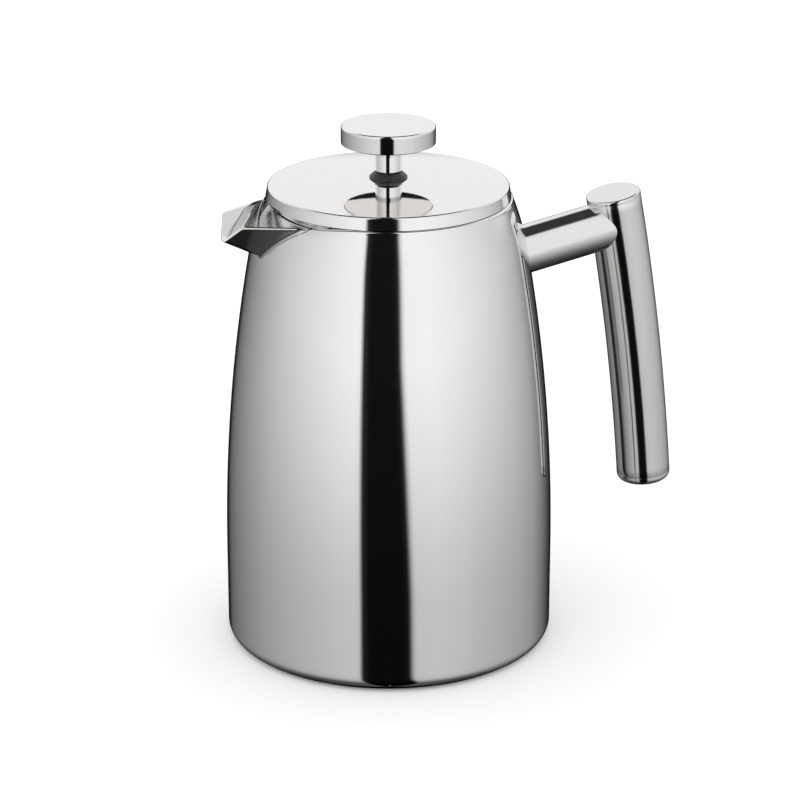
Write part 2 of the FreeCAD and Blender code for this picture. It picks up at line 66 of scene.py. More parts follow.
# shader maths: a socket that can be added, scaled and so on
class Socket:
    def __init__(self, tree, output):
        self.tree = tree
        self.output = output

    def maths(self, operation, first, second=0.0):
        return self.tree.node("ShaderNodeMath", {"operation": operation}, {0: first, 1: second})

    def __add__(self, other):
        return self.maths("ADD", self, other)

    def __sub__(self, other):
        return self.maths("SUBTRACT", self, other)

    def __rsub__(self, other):
        return self.maths("SUBTRACT", other, self)

    def __mul__(self, other):
        return self.maths("MULTIPLY", self, other)

    def __truediv__(self, other):
        return self.maths("DIVIDE", self, other)

    def __pow__(self, other):
        return self.maths("POWER", self, other)

    def __neg__(self):
        return self.maths("MULTIPLY", self, -1.0)

    __radd__ = __add__

    def call(self, operation, second=0.0):
        return self.maths(operation, self, second)


class Tree:
    def __init__(self, owner):
        owner.use_nodes = True
        self.tree = owner.node_tree
        self.tree.nodes.clear()

    def node(self, kind, settings=None, sockets=None, out=0):
        made = self.tree.nodes.new(kind)
        for name, value in (settings or {}).items():
            if name == "stops":
                self.setStops(made.color_ramp, value)
            else:
                setattr(made, name, value)
        for name, value in (sockets or {}).items():
            if isinstance(value, Socket):
                self.tree.links.new(value.output, made.inputs[name])
            else:
                made.inputs[name].default_value = value
        return Socket(self, made.outputs[out]) if len(made.outputs) else made

    def setStops(self, ramp, stops):
        while len(ramp.elements) > 1:
            ramp.elements.remove(ramp.elements[-1])
        for i, (place, level) in enumerate(stops):
            stop = ramp.elements[0] if i == 0 else ramp.elements.new(place)
            stop.position = place
            colour = level if isinstance(level, tuple) else (level, level, level)
            stop.color = (*colour, 1.0)

    def ramp(self, factor, stops, interpolation="LINEAR"):
        made = self.node("ShaderNodeValToRGB", {"stops": stops}, {"Fac": factor})
        made.output.node.color_ramp.interpolation = interpolation
        return made

    def noise(self, vector, scale, detail=2.0, roughness=0.5):
        return self.node("ShaderNodeTexNoise", {}, {
            "Vector": vector, "Scale": scale, "Detail": detail, "Roughness": roughness})

    def mix(self, factor, first, second):
        first, second = ((*tone, 1.0) if isinstance(tone, tuple) else tone
                         for tone in (first, second))
        return self.node("ShaderNodeMix", {"data_type": "RGBA"}, {0: factor, 6: first, 7: second},
                         out=2)

    def stretch(self, vector, scale):
        return self.node("ShaderNodeMapping", {}, {"Vector": vector, "Scale": scale})

    def objectPlace(self):
        return self.node("ShaderNodeTexCoord", out=3)

    def split(self, vector):
        made = self.node("ShaderNodeSeparateXYZ", {}, {0: vector}).output.node
        return [Socket(self, output) for output in made.outputs]


# surroundings: what the steel mirrors, and the soft light on the floor
studio = {
    "cameraSide": 23.0,       # degrees, where the front of the press is seen from
    "sheetBright": 0.93,
    "stripEnd": 60.0,         # degrees, where the widening of the dark strip stops
    "stripLevel": -4.0,       # degrees above the level, where it starts
    "stripSpread": 0.32,      # degrees wider for each degree further down
    "gapTilt": 18.0, "gapReach": 33.0, "gapSoft": 0.06, "gapDark": 0.97,
    "fillLight": 1.25,
    "floorTone": (0.93, 0.93, 0.925),
    "tint": (1.0, 0.994, 0.985),
}

# brightness round the press, by degrees from the front, positive to the right
aroundStops = [
    (-180, 0.015), (-161, 0.02), (-150, 0.20), (-134, 0.33), (-112, 0.48), (-86, 0.66),
    (-62, 0.80), (-38, 0.93), (-24, 0.98), (-20.5, 0.90), (-19, 0.03), (-14, 0.006),
    (4, 0.006), (8, 0.02), (10.5, 0.70), (13, 0.97), (30, 1.0), (55, 0.91), (80, 0.79),
    (100, 0.68), (123, 0.52), (138, 0.30), (150, 0.14), (162, 0.02), (180, 0.015),
]
# how that brightness changes with height, by degrees above the level
heightStops = [(-90, 0.08), (-58, 0.10), (-40, 0.36), (-20, 0.68), (-12, 0.86), (-4, 1.0),
               (90, 1.0)]
# the bright sheet behind, which only starts above the level
behindStops = [(-90, 0.0), (-2, 0.0), (8, 1.0), (90, 1.0)]
# where it hangs, by degrees from the front
sheetStops = [(-180, 1.0), (-135, 1.0), (-95, 0.0), (95, 0.0), (135, 1.0), (180, 1.0)]


def spread(stops, reach):
    return [((angle + reach) / (2 * reach), level) for angle, level in stops]


def makeSurroundings(sizes):
    world = bpy.data.worlds.new("studioSurroundings")
    scene.world = world
    tree = Tree(world)
    across, ahead, up = tree.split(tree.node("ShaderNodeTexCoord", out=0))
    perRadian = 180 / math.pi
    turn = across.call("ARCTAN2", -ahead) * perRadian + sizes["cameraSide"]
    turn = tree.node("ShaderNodeMath", {"operation": "WRAP"}, {0: turn, 1: 180.0, 2: -180.0})
    lift = up.call("ARCSINE") * perRadian
    # the dark strip widens a little towards the floor
    leaning = turn + (turn.call("GREATER_THAN", 0.0)
                      * (1 - turn.call("GREATER_THAN", sizes["stripEnd"]))
                      * (lift - sizes["stripLevel"]).call("MINIMUM", 0.0)
                      * sizes["stripSpread"])
    around = tree.ramp((leaning + 180.0) / 360.0, spread(aroundStops, 180.0))
    height = tree.ramp((lift + 90.0) / 180.0, spread(heightStops, 90.0))
    behind = tree.ramp((lift + 90.0) / 180.0, spread(behindStops, 90.0), "EASE")
    sheet = tree.ramp((turn + 180.0) / 360.0, spread(sheetStops, 180.0), "EASE")
    low = around * height
    level = low + (sizes["sheetBright"] - low) * behind * sheet
    # the gap between the sheets, straight above and a little behind
    tilt = math.radians(sizes["gapTilt"])
    front = math.radians(sizes["cameraSide"])
    toGap = (across * (math.sin(front) * math.sin(tilt))
             + ahead * (math.cos(front) * math.sin(tilt)) + up * math.cos(tilt))
    gap = (toGap - math.cos(math.radians(sizes["gapReach"]))) / sizes["gapSoft"]
    gap = gap.call("MAXIMUM", 0.0).call("MINIMUM", 1.0)
    level = level * (1 - gap * sizes["gapDark"])
    mirrored = tree.node("ShaderNodeBackground", {}, {
        "Color": tree.node("ShaderNodeMix", {"data_type": "RGBA", "blend_type": "MULTIPLY"}, {
            0: 1.0, 6: level, 7: (*sizes["tint"], 1.0)}, out=2),
        "Strength": 1.0})
    plain = tree.node("ShaderNodeBackground", {}, {
        "Color": (1.0, 1.0, 1.0, 1.0), "Strength": sizes["fillLight"]})
    glossy = tree.node("ShaderNodeLightPath", out="Is Glossy Ray")
    seen = tree.node("ShaderNodeMixShader", {}, {0: glossy, 1: plain, 2: mirrored})
    tree.node("ShaderNodeOutputWorld", {}, {"Surface": seen})


def makeFloor(sizes):
    mesh = bmesh.new()
    bmesh.ops.create_grid(mesh, x_segments=1, y_segments=1, size=15.0)
    data = bpy.data.meshes.new("floorSheet")
    mesh.to_mesh(data)
    mesh.free()
    paper = bpy.data.materials.new("floorPaper")
    tree = Tree(paper)
    tone = tree.node("ShaderNodeBsdfDiffuse", {}, {"Color": (*sizes["floorTone"], 1.0)})
    tree.node("ShaderNodeOutputMaterial", {}, {"Surface": tone})
    data.materials.append(paper)
    floor = bpy.data.objects.new("floorSheet", data)
    floor.visible_glossy = False      # the steel mirrors the surroundings instead
    scene.collection.objects.link(floor)


makeSurroundings(studio)
makeFloor(studio)
print("studio ready")


# finishes
def surface(name):
    material = bpy.data.materials.new(name)
    return material, Tree(material)


def finishSurface(tree, **sockets):
    body = tree.node("ShaderNodeBsdfPrincipled", {}, {
        key.replace("_", " "): value for key, value in sockets.items()})
    tree.node("ShaderNodeOutputMaterial", {}, {"Surface": body})


def bump(tree, height, strength, distance):
    return tree.node("ShaderNodeBump", {}, {
        "Height": height, "Strength": strength, "Distance": distance})


polish = {"bright": (0.91, 0.904, 0.896), "dull": (0.88, 0.872, 0.862), "roughness": 0.035,
          "smear": 0.05}


def polishedSteel(sizes):
    material, tree = surface("polishedSteel")
    place = tree.objectPlace()
    cloud = tree.noise(place, scale=22.0, detail=3.0)
    fine = tree.noise(tree.stretch(place, (1.0, 1.0, 9.0)), scale=420.0, detail=4.0, roughness=0.6)
    smear = (cloud - 0.45).call("MAXIMUM", 0.0) * sizes["smear"]
    finishSurface(
        tree, Metallic=1.0,
        Base_Color=tree.mix(fine, sizes["dull"], sizes["bright"]),
        Roughness=sizes["roughness"] + smear * fine,
        Normal=bump(tree, fine, strength=0.015, distance=0.0002))
    return material


drawn = {"bright": (0.90, 0.893, 0.883), "dull": (0.74, 0.733, 0.722), "roughness": 0.085}


def drawnSteel(name, sizes, along):
    # a tube polished along its length
    material, tree = surface(name)
    place = tree.objectPlace()
    long = tree.noise(tree.stretch(place, along), scale=700.0, detail=3.0, roughness=0.6)
    cloud = tree.noise(place, scale=60.0, detail=3.0)
    finishSurface(
        tree, Metallic=1.0,
        Base_Color=tree.mix(long * 0.7 + cloud * 0.3, sizes["dull"], sizes["bright"]),
        Roughness=sizes["roughness"] + long * 0.06,
        Normal=bump(tree, long, strength=0.05, distance=0.0002))
    return material


satin = {"bright": (0.80, 0.795, 0.785), "dull": (0.66, 0.655, 0.645), "roughness": 0.14,
         "lineScale": 1400.0}


def satinSteel(sizes):
    material, tree = surface("satinSteel")
    place = tree.objectPlace()
    across, ahead, up = tree.split(place)
    reach = (across * across + ahead * ahead) ** 0.5
    rings = tree.node("ShaderNodeTexNoise", {"noise_dimensions": "1D"}, {
        "W": (reach + up) * sizes["lineScale"], "Scale": 1.0, "Detail": 3.0})
    cloud = tree.noise(place, scale=40.0, detail=3.0)
    finishSurface(
        tree, Metallic=1.0,
        Base_Color=tree.mix(rings * 0.7 + cloud * 0.3, sizes["dull"], sizes["bright"]),
        Roughness=sizes["roughness"] + rings * 0.10 + cloud * 0.05,
        Normal=bump(tree, rings, strength=0.12, distance=0.0003))
    return material


plastic = {"dark": (0.018, 0.018, 0.019), "light": (0.032, 0.032, 0.034), "roughness": 0.32}


def darkPlastic(sizes):
    material, tree = surface("darkPlastic")
    place = tree.objectPlace()
    grain = tree.noise(place, scale=2600.0, detail=2.0)
    cloud = tree.noise(place, scale=160.0, detail=2.0)
    finishSurface(
        tree, Metallic=0.0,
        Base_Color=tree.mix(cloud, sizes["dark"], sizes["light"]),
        Roughness=sizes["roughness"] + grain * 0.14,
        Normal=bump(tree, grain, strength=0.12, distance=0.0002))
    return material


ground = {"bright": (0.88, 0.875, 0.865), "dull": (0.74, 0.735, 0.725), "roughness": 0.10}


def rodSteel(sizes):
    # fine rings left by the grinding wheel
    material, tree = surface("rodSteel")
    place = tree.objectPlace()
    lines = tree.noise(tree.stretch(place, (1.0, 1.0, 30.0)), scale=500.0, detail=3.0)
    finishSurface(
        tree, Metallic=1.0,
        Base_Color=tree.mix(lines, sizes["dull"], sizes["bright"]),
        Roughness=sizes["roughness"] + lines * 0.12,
        Normal=bump(tree, lines, strength=0.06, distance=0.0002))
    return material


rolledSheet = {"bright": (0.80, 0.795, 0.785), "dull": (0.60, 0.595, 0.585), "roughness": 0.20}


def filterSteel(sizes):
    material, tree = surface("filterSteel")
    place = tree.objectPlace()
    rolled = tree.noise(tree.stretch(place, (4.0, 90.0, 4.0)), scale=28.0, detail=4.0,
                        roughness=0.6)
    cloud = tree.noise(place, scale=75.0, detail=3.0)
    finishSurface(
        tree, Metallic=1.0,
        Base_Color=tree.mix(rolled, sizes["dull"], sizes["bright"]),
        Roughness=sizes["roughness"] + rolled * 0.12 + cloud * 0.08,
        Normal=bump(tree, rolled, strength=0.10, distance=0.0002))
    return material


# woven screen colours: the hole colour is painted shade for the dark seen through the gaps, the
# under colour is painted shade where a wire dips below its neighbour, and the over colour is the
# wire's own tone
weave = {"pitch": 0.00050, "wire": 0.62, "hole": (0.09, 0.09, 0.09),
         "under": (0.50, 0.495, 0.485), "over": (0.84, 0.83, 0.81), "roughness": 0.26}


def wovenMesh(sizes):
    material, tree = surface("wovenMesh")
    across, ahead = tree.split(tree.objectPlace())[:2]
    turn = math.pi / sizes["pitch"]
    warp = (across * turn).call("SINE")
    weft = (ahead * turn).call("SINE")
    over = (warp * weft).call("ABSOLUTE")
    lifted = (warp * weft + 1.0) * 0.5
    wires = warp.call("ABSOLUTE").call("MAXIMUM", weft.call("ABSOLUTE"))
    solid = 1 - (1 - wires).call("GREATER_THAN", 1 - sizes["wire"])
    # the base colour paints shade: dark painted shade in the gaps between the wires, and darker
    # painted shade where the wires dip under
    finishSurface(
        tree, Metallic=1.0,
        Base_Color=tree.mix(solid, sizes["hole"],
                            tree.mix(lifted, sizes["under"], sizes["over"])),
        Roughness=sizes["roughness"] + over * 0.12,
        Normal=bump(tree, wires * 0.6 + lifted * 0.4, strength=0.8, distance=0.0002))
    return material


wire = {"bright": (0.84, 0.83, 0.82), "dull": (0.62, 0.61, 0.60), "roughness": 0.16}


def springWire(sizes):
    material, tree = surface("springWire")
    place = tree.objectPlace()
    marks = tree.noise(place, scale=900.0, detail=3.0)
    finishSurface(
        tree, Metallic=1.0,
        Base_Color=tree.mix(marks, sizes["dull"], sizes["bright"]),
        Roughness=sizes["roughness"] + marks * 0.10,
        Normal=bump(tree, marks, strength=0.05, distance=0.0002))
    return material


gripSteel = drawnSteel("gripSteel", drawn, (1.0, 1.0, 0.04))
strutSteel = drawnSteel("strutSteel", drawn, (0.04, 1.0, 1.0))
finishes = {
    "polished_steel": polishedSteel(polish),
    "satin_steel": satinSteel(satin),
    "bush_plastic": darkPlastic(plastic),
    "rod_steel": rodSteel(ground),
    "filter_steel": filterSteel(rolledSheet),
    "woven_mesh": wovenMesh(weave),
    "spring_steel": springWire(wire),
}
print("finishes ready")


# ways of making
class Outline:
    # half a section in millimetres, drawn point by point: across from the axis, and up
    def __init__(self, across, up):
        self.mesh = bmesh.new()
        self.tip = self.mesh.verts.new((across, 0, up))

    def to(self, across, up, hold=0.0):
        start, end = self.tip.co.copy(), Vector((across, 0, up))
        run = (end - start).length
        stops = [end]
        if hold and run > 2.5 * hold:     # rings close to both ends keep the flat between them flat
            along = (end - start) / run
            stops = [start + along * hold, end - along * hold, end]
        for stop in stops:
            made = bmesh.ops.extrude_vert_indiv(self.mesh, verts=[self.tip])
            self.tip = made["verts"][0]
            self.tip.co = stop
        return self

    def arc(self, across, up, degrees, steps):
        made = bmesh.ops.spin(self.mesh, geom=[self.tip], cent=(across, 0, up), axis=(0, -1, 0),
                              dvec=(0, 0, 0), angle=math.radians(degrees), steps=steps,
                              use_duplicate=False)
        self.tip = next(item for item in made["geom_last"] if isinstance(item, bmesh.types.BMVert))
        return self

    def turned(self, steps=192):
        bmesh.ops.spin(self.mesh, geom=self.mesh.verts[:] + self.mesh.edges[:], cent=(0, 0, 0),
                       axis=(0, 0, 1), dvec=(0, 0, 0), angle=2 * math.pi, steps=steps,
                       use_merge=True, use_duplicate=False)
        tidy(self.mesh)
        return self.mesh


def tidy(mesh, near=0.0005):
    bmesh.ops.remove_doubles(mesh, verts=mesh.verts, dist=near)
    flat = [face for face in mesh.faces if face.calc_area() < 1e-9]
    bmesh.ops.delete(mesh, geom=flat, context="FACES_ONLY")
    bmesh.ops.recalc_face_normals(mesh, faces=mesh.faces)
    return mesh


def facing(mesh, place, direction):
    # turn an open sheet so that the face nearest to a place looks in a direction
    target, wanted = Vector(place), Vector(direction)
    nearest = min(mesh.faces, key=lambda face: (face.calc_center_median() - target).length)
    if nearest.normal.dot(wanted) < 0:
        bmesh.ops.reverse_faces(mesh, faces=mesh.faces)
    return mesh


def thickened(mesh, sheet):
    # the sheet's face stays where it is and the wall grows behind it
    bmesh.ops.solidify(mesh, geom=mesh.faces[:], thickness=sheet)
    return mesh


def sliced(mesh, place, normal, near=lambda vert: True, clear=False):
    verts = [vert for vert in mesh.verts if near(vert)]
    chosen = set(verts)
    edges = [edge for edge in mesh.edges if chosen.issuperset(edge.verts)]
    faces = [face for face in mesh.faces if chosen.issuperset(face.verts)]
    bmesh.ops.bisect_plane(mesh, geom=verts + edges + faces, dist=0.0005, plane_co=place,
                           plane_no=normal, clear_outer=clear)
    return mesh


def softened(mesh, offset, segments=2, sharper=50):
    edges = [edge for edge in mesh.edges if len(edge.link_faces) == 2
             and edge.calc_face_angle(0.0) > math.radians(sharper)]
    bmesh.ops.bevel(mesh, geom=edges, offset=offset, offset_type="OFFSET", segments=segments,
                    profile=0.5, affect="EDGES", clamp_overlap=True, material=-1)
    return mesh


def piece(name, mesh, body, slot, nodes, sharp=32, finish=None):
    bmesh.ops.scale(mesh, vec=(metresPerMm,) * 3, verts=mesh.verts)
    data = bpy.data.meshes.new(name)
    mesh.to_mesh(data)
    mesh.free()
    data.shade_smooth()
    data.set_sharp_from_angle(angle=math.radians(sharp))
    data.materials.append(finish or finishes[slot])
    thing = bpy.data.objects.new(name, data)
    scene.collection.objects.link(thing)
    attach(thing, body)
    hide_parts(*nodes)
    print(name, len(data.polygons), "faces")
    return thing


# vessel walls, with the notch that the spout is let into
vessel = {
    "footInside": 52.0, "footRound": 4.8, "footLead": 1.5, "belly": 60.0,
    "bowStart": 35.0, "bow": 639.0, "shoulderUp": 147.0, "shoulder": 100.0,
    "shellTop": 163.4, "shellSheet": 0.8,
    "rimSide": 166.3, "rimTop": 167.1, "beadFloor": 163.4, "beadRound": 0.8, "bore": 41.0,
    "floor": 6.8, "floorRound": 6.0, "vesselSheet": 0.7,
    "rimLead": 1.0, "rimMargin": 0.05, "midRing": 90.0, "dipHalf": 36.0, "dipDepth": 2.3,
}
spout = {
    "lip": 164.8, "mouth": 63.6, "mouthHalf": 8.2, "mouthFloor": 158.0, "mouthRound": 3.6,
    "root": 30.0, "rootHalf": 25.5, "rootFloor": 140.5, "rootRound": 2.4, "sheet": 1.0,
    "slant": 2.6, "corner": 3.0, "cornerCuts": (105, 120, 135, 150),      # degrees
    "notchOut": 0.1, "flare": 1.4, "flareStart": 1.0, "flareMost": 0.9,
    "keelHalf": 3.0,          # from here outwards the flare pushes square to the side
    "notchFrom": 25.0, "notchAbove": 115.0,      # nothing nearer the axis or lower is cut
    "floorSteps": 8, "sideCuts": 15, "lengthCuts": 60, "boreGap": 0.2, "boreNear": 0.02,
    "edgeRound": 0.25,
}


def shoulderArc(sizes):
    # centre of the shoulder's arc, and the bow's lean where the shoulder starts
    lean = math.asin((sizes["shoulderUp"] - sizes["bowStart"]) / sizes["bow"])
    end = sizes["belly"] - sizes["bow"] + sizes["bow"] * math.cos(lean)
    across = end - sizes["shoulder"] * math.cos(lean)
    up = sizes["shoulderUp"] - sizes["shoulder"] * math.sin(lean)
    return across, up, math.degrees(lean)


def shoulderLean(sizes, height):
    up = shoulderArc(sizes)[1]
    return math.degrees(math.asin((height - up) / sizes["shoulder"]))


def sidePlane(sizes, side):
    # a place on one side of the channel, and the way from there into the channel
    start = Vector((-sizes["root"], side * sizes["rootHalf"], sizes["lip"]))
    end = Vector((-sizes["mouth"], side * sizes["mouthHalf"], sizes["lip"]))
    inward = (end - start).cross(Vector((0, side, 1))).normalized()
    return start, (-inward if inward.y * side > 0 else inward)


def keelPlane(sizes):
    # a place on the channel's lowest line, and the way from there into the channel
    rise, run = sizes["mouthFloor"] - sizes["rootFloor"], sizes["mouth"] - sizes["root"]
    return Vector((-sizes["root"], 0, sizes["rootFloor"])), Vector((rise, 0, run)).normalized()


def notch(mesh, sizes):
    # cuts the channel's shape out of a wall; the channel's flare covers the cut edge
    def local(vert):
        return vert.co.x < -sizes["notchFrom"] and vert.co.z > sizes["notchAbove"]

    planes = [sidePlane(sizes, side) for side in (1, -1)]
    planes.append(keelPlane(sizes))
    for start, inward in planes:
        sliced(mesh, start - inward * sizes["notchOut"], inward, local)
    gone = []
    for face in mesh.faces:
        middle = face.calc_center_median()
        inside = all((middle - start).dot(inward) > -sizes["notchOut"] for start, inward in planes)
        if inside and middle.x < -sizes["notchFrom"]:
            gone.append(face)
    bmesh.ops.delete(mesh, geom=gone, context="FACES")
    return mesh


def shellWall(sizes):
    across, up, lean = shoulderArc(sizes)
    top = shoulderLean(sizes, sizes["shellTop"])
    line = Outline(sizes["footInside"], 0).to(sizes["belly"] - sizes["footRound"], 0, hold=0.4)
    line.arc(sizes["belly"] - sizes["footRound"], sizes["footRound"], 90, 12)
    line.to(sizes["belly"], sizes["footRound"] + sizes["footLead"])
    line.to(sizes["belly"], sizes["bowStart"])
    line.arc(sizes["belly"] - sizes["bow"], sizes["bowStart"], lean, 44)
    line.arc(across, up, top - lean, 14)
    mesh = facing(line.turned(256), (0, -sizes["belly"], sizes["bowStart"]), (0, -1, 0))
    notch(mesh, spout)
    thickened(mesh, sizes["shellSheet"])
    return piece("shellWall", mesh, "vessel", "polished_steel", ["outer_shell"])


def vesselWall(sizes):
    across, up, lean = shoulderArc(sizes)
    low = shoulderLean(sizes, sizes["beadFloor"])
    high = shoulderLean(sizes, sizes["rimSide"])
    start = across + sizes["shoulder"] * math.cos(math.radians(low))
    rimOut = across + sizes["shoulder"] * math.cos(math.radians(high))
    line = Outline(start, sizes["beadFloor"]).arc(across, up, high - low, 5)
    line.arc(rimOut - sizes["beadRound"], sizes["rimSide"], 90, 8)
    line.to(sizes["bore"] + sizes["beadRound"], sizes["rimTop"], hold=0.3)
    line.arc(sizes["bore"] + sizes["beadRound"], sizes["rimSide"], 90, 8)
    line.to(sizes["bore"], sizes["rimSide"] - sizes["rimLead"]).to(sizes["bore"], sizes["midRing"])
    line.to(sizes["bore"], sizes["floor"] + sizes["floorRound"], hold=2.0)
    line.arc(sizes["bore"] - sizes["floorRound"], sizes["floor"] + sizes["floorRound"], -90, 10)
    line.to(0, sizes["floor"], hold=2.0)
    mesh = facing(line.turned(256), (0, 0, sizes["floor"]), (0, 0, 1))
    # the rim sinks to meet the spout's lips
    for vert in mesh.verts:
        share = (vert.co.z - sizes["beadFloor"]) / (sizes["rimTop"] - sizes["beadFloor"])
        aside = min(abs(vert.co.y) / sizes["dipHalf"], 1.0)
        if vert.co.x < 0 and share > 0:
            vert.co.z -= sizes["dipDepth"] * (1 - aside ** 4) ** 2 * share
    notch(mesh, spout)
    thickened(mesh, sizes["vesselSheet"])
    wall = piece("vesselWall", mesh, "vessel", "satin_steel", ["inner_vessel"])
    wall.data.materials.append(finishes["polished_steel"])    # the rolled rim
    for face in wall.data.polygons:
        reach, up = face.center.xy.length / metresPerMm, face.center.z / metresPerMm
        rim = reach > sizes["bore"] + sizes["rimMargin"] and up > sizes["beadFloor"]
        face.material_index = 1 if rim else 0
    return wall


def spoutSection(mesh, place, half, floor, rounding, top):
    # a V, open at the lips; gives its lowest corner and how far the rounding reaches from it
    turn = math.atan((top - floor - rounding) / half) - math.acos(
        rounding / math.hypot(half, top - floor - rounding))
    across, up = rounding * math.cos(turn), floor + rounding + rounding * math.sin(turn)
    apex = up - across / math.tan(-turn)
    left = mesh.verts.new((-place, half, top))
    low = mesh.verts.new((-place, 0, apex))
    right = mesh.verts.new((-place, -half, top))
    mesh.edges.new((left, low))
    mesh.edges.new((low, right))
    return low, math.hypot(across, up - apex)


def wallRadius(height):
    # how far the outer wall stands from the axis at a height
    across, up = shoulderArc(vessel)[:2]
    if height > vessel["shoulderUp"]:
        return across + math.sqrt(vessel["shoulder"] ** 2 - (height - up) ** 2)
    rise = max(height - vessel["bowStart"], 0.0)
    return vessel["belly"] - vessel["bow"] + math.sqrt(vessel["bow"] ** 2 - rise ** 2)


def flared(mesh, sizes):
    # the sheet curves out to meet the wall
    planes = {side: sidePlane(sizes, side)[1] for side in (1, -1)}
    under = keelPlane(sizes)[1]
    most = math.sqrt(sizes["flare"] ** 2 - (sizes["flare"] - sizes["flareMost"]) ** 2)
    for vert in mesh.verts:
        out = math.hypot(vert.co.x, vert.co.y) - wallRadius(vert.co.z)
        left = min(max(sizes["flareStart"] - out, 0.0), most)
        push = sizes["flare"] - math.sqrt(sizes["flare"] ** 2 - left ** 2)
        side = 1 if vert.co.y >= 0 else -1
        keel = sizes["rootFloor"] + (sizes["mouthFloor"] - sizes["rootFloor"]) * (
            -vert.co.x - sizes["root"]) / (sizes["mouth"] - sizes["root"])
        rise = (vert.co.z - keel) / (sizes["lip"] - keel)
        share = min(abs(vert.co.y) / sizes["keelHalf"], 1.0)
        outward = -(planes[side] * share + under * (1 - share)).normalized()
        up = -outward.z * push * math.sqrt(2) * rise * share      # keeps the lips level
        vert.co += outward * push + Vector((0, side, 1)).normalized() * up
    return mesh


def onBore(vert, run, reach):
    # slide a corner along a line until it stands on the bore
    a = run.x ** 2 + run.y ** 2
    b = 2 * (vert.co.x * run.x + vert.co.y * run.y)
    c = vert.co.x ** 2 + vert.co.y ** 2 - reach ** 2
    vert.co = vert.co + run * ((-b + math.sqrt(b * b - 4 * a * c)) / (2 * a))


def spoutChannel(sizes):
    # two V sections, joined lengthwise, slid onto the bore and flared at the wall
    near = 0.001
    mesh = bmesh.new()
    rows = []
    for place, half, floor, rounding in (
            (sizes["root"], sizes["rootHalf"], sizes["rootFloor"], sizes["rootRound"]),
            (sizes["mouth"], sizes["mouthHalf"], sizes["mouthFloor"], sizes["mouthRound"])):
        low, reach = spoutSection(mesh, place, half, floor, rounding, sizes["lip"])
        bmesh.ops.bevel(mesh, geom=[low], offset=reach, offset_type="OFFSET", profile=0.5,
                        segments=sizes["floorSteps"], affect="VERTICES", material=-1)
        sides = [edge for edge in mesh.edges if any(
            abs(vert.co.x + place) < near and vert.co.z > sizes["lip"] - near
            for vert in edge.verts)]
        bmesh.ops.subdivide_edges(mesh, edges=sides, cuts=sizes["sideCuts"])
        rows += [edge for edge in mesh.edges if all(
            abs(vert.co.x + place) < near for vert in edge.verts)]
    bmesh.ops.bridge_loops(mesh, edges=rows)
    runs = [edge for edge in mesh.edges
            if abs(edge.verts[0].co.x - edge.verts[1].co.x) > 1]
    reach = vessel["bore"] + sizes["boreGap"]
    for edge in runs:
        inside, outside = sorted(edge.verts, key=lambda vert: -vert.co.x)
        onBore(inside, outside.co - inside.co, reach)
    bmesh.ops.subdivide_edges(mesh, edges=runs, cuts=sizes["lengthCuts"], use_grid_fill=True)
    inner = [vert for vert in mesh.verts
             if math.hypot(vert.co.x, vert.co.y) < reach + sizes["boreNear"]]
    flared(mesh, sizes)
    for vert in inner:      # the inner end follows the bore
        onBore(vert, Vector((-1, 0, 0)), reach)
    # the mouth slants back towards the lips, and its corners are round
    lipEnd, corner = sizes["mouth"] - sizes["slant"], sizes["corner"]
    centre = Vector((corner - lipEnd, 0, sizes["lip"] - corner))
    for degrees in sizes["cornerCuts"]:
        turn = math.radians(degrees)
        way = Vector((math.cos(turn), 0, math.sin(turn)))
        sliced(mesh, centre + way * corner, way, clear=True)
    drop = sizes["lip"] - corner - sizes["mouthFloor"] + sizes["sheet"]
    sliced(mesh, (-lipEnd, 0, sizes["lip"] - corner), (-drop, 0, sizes["slant"]), clear=True)
    tidy(mesh)
    facing(mesh, (-lipEnd, sizes["mouthHalf"], sizes["mouthFloor"]), (0, 1, -1))
    thickened(mesh, sizes["sheet"])
    softened(mesh, sizes["edgeRound"], segments=3, sharper=60)
    return piece("spoutChannel", mesh, "vessel", "polished_steel", ["pouring_spout"], sharp=40)


shellWall(vessel)
vesselWall(vessel)
spoutChannel(spout)

base = {"recess": 2.0, "sheet": 0.8, "step": 1.2, "outside": 51.9, "bend": 0.25,
        "bendLead": 0.6, "footLead": 0.5, "upperStep": 0.6}


def basePlate(sizes):
    out, step, sheet, recess = sizes["outside"], sizes["step"], sizes["sheet"], sizes["recess"]
    bend = sizes["bend"]
    line = Outline(0, recess).to(out - 2 * step - sizes["bendLead"], recess, hold=1.0)
    line.to(out - 2 * step, recess - bend).to(out - step, bend)
    line.to(out - step + sizes["footLead"], 0)
    upper = out - sizes["upperStep"] * step
    line.to(out, 0).to(out, sheet).to(upper, sheet)
    line.to(upper - step, recess + sheet).to(0, recess + sheet)
    return piece("baseDisc", line.turned(160), "vessel", "satin_steel", ["base_plate"], sharp=40)


basePlate(base)
print("vessel ready")

# handle
grip = {
    "radius": 10.1, "wall": 1.2, "bow": 950.0, "topAcross": 90.2, "topUp": 156.5,
    "topLean": 11.4, "length": 111.5, "cap": 1.6, "capRound": 0.8, "foot": 3.2,
    "footRound": 2.6, "seam": 0.04,
}
strut = {"radius": 8.9, "wall": 1.2, "height": 139.5, "lean": 9.3, "start": 48.0, "reach": 43.0}


def leaned(mesh, across, up, lean):
    # tips a piece back from upright and moves it to its place
    bmesh.ops.rotate(mesh, verts=mesh.verts, cent=(0, 0, 0),
                     matrix=Matrix.Rotation(-math.radians(lean), 3, "Y"))
    bmesh.ops.translate(mesh, verts=mesh.verts, vec=(across, 0, up))
    return mesh


